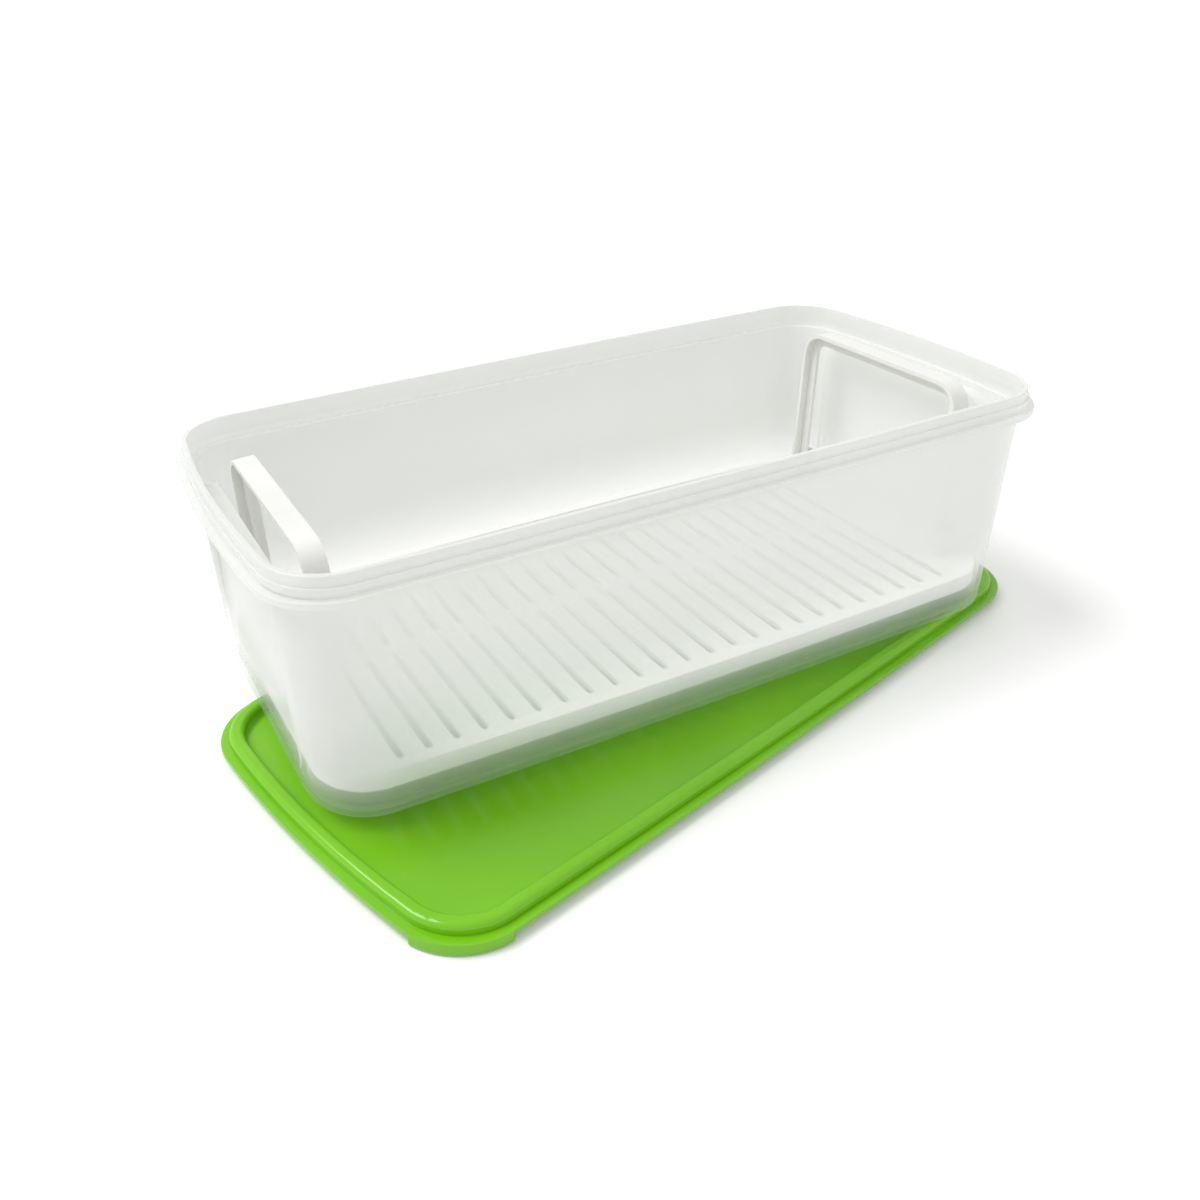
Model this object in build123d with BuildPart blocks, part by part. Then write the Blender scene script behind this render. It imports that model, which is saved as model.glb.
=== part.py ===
from build123d import *
from math import cos, radians, sin
import os

# Container body, outside sizes between the corners, without the bow of the sides
base_length = 314.3
base_width = 145.4
base_radius = 26.0
length_flare = 9.7  # the rim is this much longer than the base
width_flare = 7.3
rim_length = base_length + length_flare
rim_width = base_width + width_flare
rim_radius = 24.0
body_height = 101.3
wall_thickness = 1.8
base_edge_radius = 5.0  # rounding between the base and the walls
base_foot = 6.0  # upright lowest part of the walls

# How far each side swells out at its middle
rim_side_bow = 1.4
rim_end_bow = 6.1
base_side_bow = 2.2
base_end_bow = 0.6

# Rim, measured down from the top edge and out from the rim face
bead_depth = 4.2
bead_height = 2.4
bead_proud = 0.9
flange_depth = 8.1
flange_height = 2.2
flange_proud = 3.0
wall_top_depth = 12.4
wall_top_inset = 2.1
rim_edge_radius = 0.6

# Finger grips, flat panels set back into both end walls
grip_width = 98.0
grip_corner_radius = 14.0
grip_sill = 7.0  # height of the panel's lower edge above the base
grip_base_depth = 0.2  # set back at the base, from the end of the base outline
grip_draft = 0.9  # degrees, the panel leans out towards the rim

# Lift-out tray
tray_clearance = 1.4  # between the tray's edge and the container wall
tray_top = 17.7  # above the outside of the container's base
tray_plate = 2.0
tray_skirt_height = 7.0
tray_skirt_thickness = 1.6
slot_pitch = 11.0
slot_width = 3.0
slot_end_margin = 8.0  # from the hinge line to the middle of the last slot, at least
slot_margin = 4.5  # solid border along the long sides
spine_width = 8.0  # solid strip along the middle
foot_radius = 4.0
foot_inset = 16.0  # from the tray's edge to the middle of a foot

# Handles, two equal bails that fold down over the tray
hinge_inset = 12.95  # from the tray's end to the hinge line
hinge_above_tray = 6.8
bail_width = 97.0
bail_height = 72.0  # from the hinge to the top of the bail
bail_corner_radius = 11.0
bail_lean = 3.2  # degrees, the upright bail leans out on its stop
strap_width = 8.8
strap_thickness = 1.8
rib_depth = 4.2
rib_thickness = 1.6
pin_radius = 2.0
pin_clearance = 0.08
ear_gap = 0.3  # between the ear and the handle's leg
ear_thickness = 2.6
ear_foot = 1.0  # how far the ears are sunk in the tray's plate
stop_gap = 0.1
stop_thickness = 1.8
stop_height = 8.0  # above the hinge
stop_reach = 5.0  # how far the stop reaches in behind the leg

# Lid, lying under the container and turned against it
lid_turn = 13.8  # degrees
lid_height = 8.9
body_offset_x = -2.1  # middle of the container from the middle of the lid
body_offset_y = 20.1
lid_skirt_proud = 4.6  # outside of the rim face when the lid is on
lid_skirt_base = 3.2  # height of the skirt above the surface that the lid lies on
lid_skirt_thickness = 1.7
lid_bead_proud = 1.4
lid_thickness = 1.5
lid_panel_top = 4.3
lid_slip = 0.2  # clearance outside the rim in the lid's channel
lid_channel_width = 2.8
lid_bead_radius = 2.1
lid_panel_radius = 1.4
tab_proud = 0.4
tab_width = 33.0
tab_base = 0.8

# Working planes
body_plane = Plane(origin=(body_offset_x, body_offset_y, lid_height))
lid_plane = Plane(
    origin=(0, 0, 0),
    x_dir=(cos(radians(lid_turn)), sin(radians(lid_turn)), 0),
    z_dir=(0, 0, 1),
)


wall_top = body_height - wall_top_depth
flange_bottom = body_height - flange_depth - flange_height
tray_margin = -wall_thickness - tray_clearance
hinge_x = base_length / 2 + tray_margin - hinge_inset
hinge_z = tray_top + hinge_above_tray
slot_count = int(2 * (hinge_x - slot_end_margin) / slot_pitch)


# Closed outline with softly bowed sides
def bowed_outline(length, width, radius, side_bow, end_bow):
    half_length = length / 2
    half_width = width / 2
    with BuildSketch() as outline:
        with BuildLine():
            for side in (-1, 1):
                ThreePointArc(
                    (side * half_length, side * half_width),
                    (0, side * (half_width + side_bow)),
                    (-side * half_length, side * half_width),
                )
                ThreePointArc(
                    (side * half_length, -side * half_width),
                    (side * (half_length + end_bow), 0),
                    (side * half_length, side * half_width),
                )
        make_face()
        fillet(outline.vertices(), radius)
    return outline.sketch


# Outline parallel to the rim face, larger by the margin
def rim_outline(margin):
    return bowed_outline(
        rim_length + 2 * margin,
        rim_width + 2 * margin,
        rim_radius + margin,
        rim_side_bow,
        rim_end_bow,
    )


# Outline parallel to the base, larger by the margin
def base_outline(margin):
    return bowed_outline(
        base_length + 2 * margin,
        base_width + 2 * margin,
        base_radius + margin,
        base_side_bow,
        base_end_bow,
    )


# Tapered block from the floor up to the foot of the rim, moved in by the inset
def tapered_block(inset, floor):
    with BuildPart() as block:
        with BuildSketch(body_plane.offset(floor)):
            add(base_outline(-inset))
        extrude(amount=base_foot - floor)
        fillet(block.faces().sort_by(Axis.Z)[0].edges(), base_edge_radius - inset)
        with BuildSketch(body_plane.offset(base_foot)):
            add(base_outline(-inset))
        with BuildSketch(body_plane.offset(wall_top)):
            add(rim_outline(-wall_top_inset - inset))
        loft(ruled=True)
    return block.part


# The two blocks outside the grip panels, moved in by the inset
def grip_blocks(inset):
    with BuildPart() as blocks:
        for side in (-1, 1):
            with BuildSketch(grip_plane(side, inset)) as panel:
                with Locations((0, grip_sill - inset)):
                    Rectangle(
                        grip_width + 2 * inset,
                        wall_top - wall_thickness - grip_sill + 2 * inset,
                        align=(Align.CENTER, Align.MIN),
                    )
                fillet(panel.vertices(), grip_corner_radius)
            extrude(amount=length_flare)
    return blocks.part


# Plane of a grip panel, leaning out towards the rim
def grip_plane(side, inset):
    foot = side * (base_length / 2 - grip_base_depth - inset)
    return Plane(
        origin=body_plane.from_local_coords(Vector(foot, 0, 0)),
        x_dir=(0, side, 0),
        z_dir=(side * cos(radians(grip_draft)), 0, -sin(radians(grip_draft))),
    )


# Plane through a handle's hinge line, upright along the leaning leg
def bail_plane(side):
    return Plane(
        origin=body_plane.from_local_coords(Vector(side * hinge_x, 0, hinge_z)),
        x_dir=(0, side, 0),
        z_dir=(side * cos(radians(bail_lean)), 0, -sin(radians(bail_lean))),
    )


# Plane across the hinge line at a distance along it, its X axis pointing inwards
def leg_plane(side, distance):
    return Plane(
        origin=bail_plane(side).from_local_coords(Vector(distance, 0, 0)),
        x_dir=-bail_plane(side).z_dir,
        z_dir=bail_plane(side).x_dir,
    )


# Tab that follows the corner of the lid, down from the top of its skirt
def pull_tab():
    with BuildPart() as tab:
        with BuildSketch(lid_plane.offset(tab_base)):
            with Locations((-rim_length / 2, -rim_width / 2)):
                Rectangle(2 * tab_width, tab_width, rotation=45)
            add(rim_outline(lid_skirt_proud + tab_proud), mode=Mode.INTERSECT)
            add(rim_outline(lid_bead_proud + lid_slip), mode=Mode.SUBTRACT)
        extrude(amount=lid_skirt_base + lid_skirt_thickness - tab_base)
        with BuildSketch(lid_plane):
            add(rim_outline(lid_skirt_proud + tab_proud - lid_skirt_thickness))
        extrude(amount=lid_skirt_base, mode=Mode.SUBTRACT)
    return tab.part


# Space inside the container
with BuildPart() as hollow:
    add(tapered_block(wall_thickness, wall_thickness))
    add(grip_blocks(wall_thickness), mode=Mode.SUBTRACT)
    with BuildSketch(body_plane.offset(wall_top)):
        add(rim_outline(-wall_top_inset - wall_thickness))
    extrude(amount=flange_height)
    with BuildSketch(body_plane.offset(wall_top + flange_height)):
        add(rim_outline(-wall_thickness))
    extrude(amount=wall_top_depth)

# Container with its rim, bead, flange and end grips
with BuildPart() as container:
    add(tapered_block(0, 0))
    add(grip_blocks(0), mode=Mode.SUBTRACT)
    with BuildSketch(body_plane.offset(wall_top)):
        add(rim_outline(-wall_top_inset))
    with BuildSketch(body_plane.offset(flange_bottom)):
        add(rim_outline(0))
    loft(ruled=True)
    with BuildSketch(body_plane.offset(flange_bottom)):
        add(rim_outline(0))
    extrude(amount=flange_depth + flange_height)
    fillet(container.faces().sort_by(Axis.Z)[-1].edges(), rim_edge_radius)
    with BuildSketch(body_plane.offset(flange_bottom)):
        add(rim_outline(flange_proud))
    extrude(amount=flange_height)
    with BuildSketch(body_plane.offset(body_height - bead_depth - bead_height)):
        add(rim_outline(bead_proud))
    extrude(amount=bead_height)
    add(hollow.part, mode=Mode.SUBTRACT)
container.part.label = "container"

# Lift-out tray with its slots, skirt, feet and the ears that carry the handles
with BuildPart() as lift_tray:
    with BuildSketch(body_plane.offset(tray_top - tray_skirt_height)):
        add(base_outline(tray_margin))
    extrude(amount=tray_skirt_height)
    with BuildSketch(body_plane.offset(tray_top - tray_skirt_height)):
        add(base_outline(tray_margin - tray_skirt_thickness))
    extrude(amount=tray_skirt_height - tray_plate, mode=Mode.SUBTRACT)
    slot_row = (base_width - spine_width) / 2 + tray_margin - slot_margin
    with BuildSketch(body_plane.offset(tray_top)):
        with GridLocations(slot_pitch, spine_width + slot_row, slot_count, 2):
            SlotOverall(slot_row, slot_width, rotation=90)
    extrude(amount=-tray_plate, mode=Mode.SUBTRACT)
    with BuildSketch(body_plane.offset(wall_thickness)):
        with GridLocations(
            base_length + 2 * (tray_margin - foot_inset),
            base_width + 2 * (tray_margin - foot_inset),
            2,
            2,
        ):
            Circle(foot_radius)
    extrude(amount=tray_top - tray_plate - wall_thickness)
    for side in (-1, 1):
        for hand in (-1, 1):
            ear_plane = leg_plane(side, hand * (bail_width / 2 + ear_gap))
            with BuildSketch(ear_plane):
                Circle(strap_width / 2)
                Rectangle(
                    strap_width,
                    hinge_above_tray + ear_foot,
                    align=(Align.CENTER, Align.MAX),
                )
            extrude(amount=hand * ear_thickness)
            with BuildSketch(leg_plane(side, hand * (bail_width / 2 - stop_reach))):
                with Locations((-strap_width / 2 - stop_gap, stop_height)):
                    Rectangle(
                        stop_thickness,
                        stop_height + hinge_above_tray + ear_foot,
                        align=(Align.MAX, Align.MAX),
                    )
            extrude(amount=hand * (stop_reach + ear_gap + ear_thickness))
            with BuildSketch(ear_plane):
                Circle(pin_radius + pin_clearance)
            extrude(amount=hand * ear_thickness, mode=Mode.SUBTRACT)
lift_tray.part.label = "lift_tray"


# One folding handle with its rib and hinge pins
def make_bail(side):
    rib_inset = (strap_thickness + rib_depth) / 2
    strap_half = (bail_width - strap_thickness) / 2
    strap_top = bail_height - strap_thickness / 2
    with BuildPart() as bail:
        for inset, line_width, thickness in (
            (0, strap_thickness, strap_width),
            (rib_inset, rib_depth, rib_thickness),
        ):
            with BuildSketch(bail_plane(side)):
                with BuildLine() as path:
                    FilletPolyline(
                        (inset - strap_half, 0),
                        (inset - strap_half, strap_top - inset),
                        (strap_half - inset, strap_top - inset),
                        (strap_half - inset, 0),
                        radius=bail_corner_radius - strap_thickness / 2 - inset,
                    )
                trace(path.line, line_width=line_width)
            extrude(amount=thickness / 2, both=True)
        for hand in (-1, 1):
            with BuildSketch(leg_plane(side, hand * bail_width / 2)):
                Circle(strap_width / 2)
            extrude(amount=-hand * strap_thickness)
            with BuildSketch(leg_plane(side, hand * bail_width / 2)):
                Circle(pin_radius)
            extrude(amount=hand * (ear_gap + ear_thickness))
    return bail.part


handle_near = make_bail(-1)
handle_near.label = "handle_near"
handle_far = make_bail(1)
handle_far.label = "handle_far"

# Lid: hollow bead that takes the rim, skirt, sunk panel and corner pull tab
with BuildPart() as lid:
    with BuildSketch(lid_plane):
        add(rim_outline(lid_bead_proud))
    extrude(amount=lid_height)
    with BuildSketch(lid_plane.offset(lid_height)):
        add(rim_outline(lid_slip - lid_channel_width - lid_thickness))
    extrude(amount=lid_panel_top - lid_height, mode=Mode.SUBTRACT)
    level_faces = lid.faces().filter_by(Axis.Z).sort_by(Axis.Z)
    fillet(level_faces[-1].edges(), lid_bead_radius)
    level_faces = lid.faces().filter_by(Axis.Z).sort_by(Axis.Z)
    fillet(level_faces[-2].edges(), lid_panel_radius)
    with BuildSketch(lid_plane.offset(lid_skirt_base)):
        add(rim_outline(lid_skirt_proud))
        add(rim_outline(0), mode=Mode.SUBTRACT)
    extrude(amount=lid_skirt_thickness)
    with BuildSketch(lid_plane):
        add(rim_outline(lid_slip))
        add(rim_outline(lid_slip - lid_channel_width), mode=Mode.SUBTRACT)
    extrude(amount=lid_height - lid_thickness, mode=Mode.SUBTRACT)
    with BuildSketch(lid_plane):
        add(rim_outline(lid_skirt_proud))
        add(rim_outline(0), mode=Mode.SUBTRACT)
    extrude(amount=lid_skirt_base, mode=Mode.SUBTRACT)
    with BuildSketch(lid_plane):
        add(rim_outline(lid_slip - lid_channel_width - lid_thickness))
    extrude(amount=lid_panel_top - lid_thickness, mode=Mode.SUBTRACT)
    add(pull_tab())
lid.part.label = "lid"

os.makedirs("parts", exist_ok=True)
for piece in (container.part, lift_tray.part, handle_near, handle_far, lid.part):
    export_step(piece, f"parts/{piece.label}.step")
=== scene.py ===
import math

import bpy
from mathutils import Matrix, Vector

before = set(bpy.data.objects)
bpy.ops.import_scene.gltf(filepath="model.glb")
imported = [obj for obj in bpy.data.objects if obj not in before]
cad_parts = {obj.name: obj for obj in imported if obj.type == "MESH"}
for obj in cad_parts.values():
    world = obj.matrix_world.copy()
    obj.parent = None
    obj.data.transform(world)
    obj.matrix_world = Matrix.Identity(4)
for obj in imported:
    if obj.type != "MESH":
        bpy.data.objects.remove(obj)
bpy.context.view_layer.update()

mm = 0.001


def srgbToLinear(hexColour):
    channels = [int(hexColour[i : i + 2], 16) / 255 for i in (0, 2, 4)]
    linear = [c / 12.92 if c <= 0.04045 else ((c + 0.055) / 1.055) ** 2.4 for c in channels]
    return (*linear, 1.0)


def addNode(tree, kind, settings=None, links=None):
    # settings: attributes or socket values; links: this node's input -> another node's output
    node = tree.nodes.new(kind)
    for key, value in (settings or {}).items():
        if isinstance(key, int) or key in node.inputs:
            node.inputs[key].default_value = value
        else:
            setattr(node, key, value)
    for key, socket in (links or {}).items():
        tree.links.new(socket, node.inputs[key])
    return node


def newMaterial(name):
    material = bpy.data.materials.new(name)
    material.use_nodes = True
    material.node_tree.nodes.clear()
    return material, material.node_tree


# What every moulding here has: colour and gloss that drift a little with the flow of the
# melt, and a low relief on the skin. Distances are real ones, in metres.
def mouldedSkin(tree, look):
    where = addNode(tree, "ShaderNodeTexCoord").outputs["Object"]
    flow = addNode(
        tree,
        "ShaderNodeTexNoise",
        {"Scale": 1 / look["flow"], "Detail": 3.0, "Distortion": look["swirl"]},
        {"Vector": where},
    ).outputs["Fac"]
    colour = addNode(tree, "ShaderNodeValToRGB", links={"Fac": flow})
    for stop, position, shade in zip(colour.color_ramp.elements, look["spread"], look["colours"]):
        stop.position = position
        stop.color = srgbToLinear(shade)
    smooth, rough = look["roughness"]
    gloss = addNode(
        tree,
        "ShaderNodeMapRange",
        {"To Min": smooth, "To Max": rough},
        {"Value": flow},
    )
    relief = addNode(
        tree,
        "ShaderNodeTexNoise",
        {"Scale": 1 / look["relief"], "Detail": 2.0},
        {"Vector": where},
    )
    bump = addNode(
        tree,
        "ShaderNodeBump",
        {"Strength": look["reliefStrength"], "Distance": look["reliefDepth"]},
        {"Height": relief.outputs["Fac"]},
    )
    return {
        "Base Color": colour.outputs["Color"],
        "Roughness": gloss.outputs["Result"],
        "Normal": bump.outputs["Normal"],
    }


# Natural polypropylene, injection moulded with a soft gloss: the walls are milky white and
# show what is behind them faintly; the base and lowest part of the walls are clearer
frostedLook = {
    "colours": ("F7F8F6", "FAFBF9"),
    "spread": (0.0, 1.0),
    "flow": 45 * mm,
    "swirl": 0.6,
    "haze": (0.07, 0.66),  # at the base and near the rim
    "hazeHeights": (14 * mm, 58 * mm),  # above the table
    "softGlow": 0.2,  # share of the light that the wall scatters through itself
    "roughness": (0.15, 0.19),
    "relief": 0.9 * mm,  # mould grain, drawn coarser than the real one so that it can show
    "reliefDepth": 0.003 * mm,
    "reliefStrength": 0.4,
    "sockets": {"IOR": 1.49},
}


def frostedPolypropylene(look):
    material, tree = newMaterial("frostedMouldedPolypropylene")
    skin = mouldedSkin(tree, look)
    place = addNode(tree, "ShaderNodeTexCoord")
    height = addNode(tree, "ShaderNodeSeparateXYZ", links={0: place.outputs["Object"]})
    clearHaze, milkyHaze = look["haze"]
    clearHeight, milkyHeight = look["hazeHeights"]
    haze = addNode(
        tree,
        "ShaderNodeMapRange",
        {
            "interpolation_type": "SMOOTHSTEP",
            "From Min": clearHeight,
            "From Max": milkyHeight,
            "To Min": clearHaze,
            "To Max": milkyHaze,
        },
        {"Value": height.outputs["Z"]},
    )
    surface = addNode(
        tree,
        "ShaderNodeBsdfPrincipled",
        look["sockets"],
        {**skin, "Alpha": haze.outputs["Result"]},
    )
    through = addNode(
        tree,
        "ShaderNodeBsdfTranslucent",
        links={"Color": skin["Base Color"], "Normal": skin["Normal"]},
    )
    both = addNode(
        tree,
        "ShaderNodeMixShader",
        {0: look["softGlow"]},
        {1: surface.outputs[0], 2: through.outputs[0]},
    )
    addNode(tree, "ShaderNodeOutputMaterial", links={"Surface": both.outputs[0]})
    return material


# Opaque white polypropylene, moulded: clean even white with a low satin gloss
whiteLook = {
    "colours": ("EBEBE7", "F3F3F0"),
    "spread": (0.3, 0.7),
    "flow": 60 * mm,
    "swirl": 0.4,
    "roughness": (0.34, 0.42),
    "relief": 9 * mm,  # wide, shallow ripple
    "reliefDepth": 0.03 * mm,
    "reliefStrength": 0.35,
    "sockets": {"IOR": 1.49},
}

# Lime low-density polyethylene, moulded: waxy, a little light soaks in so that lit edges glow
limeLook = {
    "colours": ("76BE12", "80C81C"),
    "spread": (0.3, 0.7),
    "flow": 80 * mm,
    "swirl": 0.4,
    "roughness": (0.16, 0.22),
    "relief": 14 * mm,  # wide, shallow ripple of the sunk panel
    "reliefDepth": 0.05 * mm,
    "reliefStrength": 0.35,
    "sockets": {
        "IOR": 1.51,
        "Subsurface Weight": 0.15,
        "Subsurface Radius": (1.2 * mm, 2.0 * mm, 0.4 * mm),
        "Subsurface Scale": 1.0,
    },
}


def opaqueMoulding(name, look):
    material, tree = newMaterial(name)
    skin = mouldedSkin(tree, look)
    surface = addNode(tree, "ShaderNodeBsdfPrincipled", look["sockets"], skin)
    addNode(tree, "ShaderNodeOutputMaterial", links={"Surface": surface.outputs[0]})
    return material


frosted = frostedPolypropylene(frostedLook)
white = opaqueMoulding("whiteMouldedPolypropylene", whiteLook)
lime = opaqueMoulding("limeMouldedPolyethylene", limeLook)
finishes = {
    "container": frosted,
    "lift_tray": white,
    "handle_near": white,
    "handle_far": white,
    "lid": lime,
}
for node, finish in finishes.items():
    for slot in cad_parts[node].material_slots:
        slot.material = finish
print("finishes set")

# Camera at the photograph's view: place in the frame's millimetres, angles in degrees,
# lens and sensor width in millimetres, shift as a share of the picture's width
cameraView = {
    "place": (-236.6, -360.3, 285.0),
    "turn": -25.8,
    "down": 22.76,
    "roll": -2.16,
    "lens": 34.93,
    "sensor": 36,
    "shift": (0.0796, -0.1363),
}


def addCamera(view):
    turn, down, roll = (math.radians(view[key]) for key in ("turn", "down", "roll"))
    ahead = Vector((-math.sin(turn) * math.cos(down), math.cos(turn) * math.cos(down), -math.sin(down)))
    across = Vector((math.cos(turn), math.sin(turn), 0))
    above = across.cross(ahead)
    right = across * math.cos(roll) + above * math.sin(roll)
    up = above * math.cos(roll) - across * math.sin(roll)
    camera = bpy.data.objects.new("camera", bpy.data.cameras.new("camera"))
    camera.data.lens = view["lens"]
    camera.data.sensor_width = view["sensor"]
    camera.data.shift_x, camera.data.shift_y = view["shift"]
    axes = Matrix((right, up, -ahead)).transposed().to_4x4()
    camera.matrix_world = Matrix.Translation(Vector(view["place"]) * mm) @ axes
    bpy.context.collection.objects.link(camera)
    bpy.context.scene.camera = camera


addCamera(cameraView)
print("camera set")

# Pale floor that the keeper stands on; size in metres, lift is the white that the camera
# adds to its lit colour, also where it sees the floor through the frosted walls
floorLook = {"colour": "F7F7F6", "size": 30.0, "lift": 0.12}


def addFloor(look):
    half = look["size"] / 2
    mesh = bpy.data.meshes.new("floor")
    corners = [(-half, -half, 0), (half, -half, 0), (half, half, 0), (-half, half, 0)]
    mesh.from_pydata(corners, [], [(0, 1, 2, 3)])
    floor = bpy.data.objects.new("floor", mesh)
    bpy.context.collection.objects.link(floor)
    material, tree = newMaterial("paleStudioFloor")
    diffuse = addNode(tree, "ShaderNodeBsdfDiffuse", {"Color": srgbToLinear(look["colour"])})
    rays = addNode(tree, "ShaderNodeLightPath")
    seen = addNode(
        tree,
        "ShaderNodeMath",
        {"operation": "MAXIMUM"},
        {0: rays.outputs["Is Camera Ray"], 1: rays.outputs["Is Transmission Ray"]},
    )
    amount = addNode(
        tree,
        "ShaderNodeMath",
        {"operation": "MULTIPLY", 1: look["lift"]},
        {0: seen.outputs[0]},
    )
    glow = addNode(tree, "ShaderNodeEmission", links={"Strength": amount.outputs[0]})
    both = addNode(
        tree,
        "ShaderNodeAddShader",
        links={0: diffuse.outputs[0], 1: glow.outputs[0]},
    )
    addNode(tree, "ShaderNodeOutputMaterial", links={"Surface": both.outputs[0]})
    mesh.materials.append(material)


addFloor(floorLook)
print("floor set")

# Soft key from the left and behind: power in watts per square metre, softness in degrees
keyLight = {"power": 1.75, "softness": 34, "place": (-0.7, 0.46, 1.33)}

# Even white room that lights from all sides; the camera sees the plain backdrop instead
roomLight = {"colour": "FFFFFF", "strength": 0.69, "backdrop": "FFFFFF"}


def addKeyLight(look):
    data = bpy.data.lights.new("key", "SUN")
    data.energy = look["power"]
    data.angle = math.radians(look["softness"])
    lamp = bpy.data.objects.new("key", data)
    lamp.location = look["place"]
    lamp.rotation_euler = Vector(look["place"]).to_track_quat("Z", "Y").to_euler()
    bpy.context.collection.objects.link(lamp)


def addRoomLight(look):
    world = bpy.data.worlds.new("studio")
    world.use_nodes = True
    tree = world.node_tree
    tree.nodes.clear()
    rays = addNode(tree, "ShaderNodeLightPath")
    room = addNode(
        tree,
        "ShaderNodeBackground",
        {"Color": srgbToLinear(look["colour"]), "Strength": look["strength"]},
    )
    backdrop = addNode(tree, "ShaderNodeBackground", {"Color": srgbToLinear(look["backdrop"])})
    either = addNode(
        tree,
        "ShaderNodeMixShader",
        links={
            0: rays.outputs["Is Camera Ray"],
            1: room.outputs[0],
            2: backdrop.outputs[0],
        },
    )
    addNode(tree, "ShaderNodeOutputWorld", links={"Surface": either.outputs[0]})
    bpy.context.scene.world = world


addKeyLight(keyLight)
addRoomLight(roomLight)
bpy.context.scene.view_settings.view_transform = "Standard"
print("lights set")
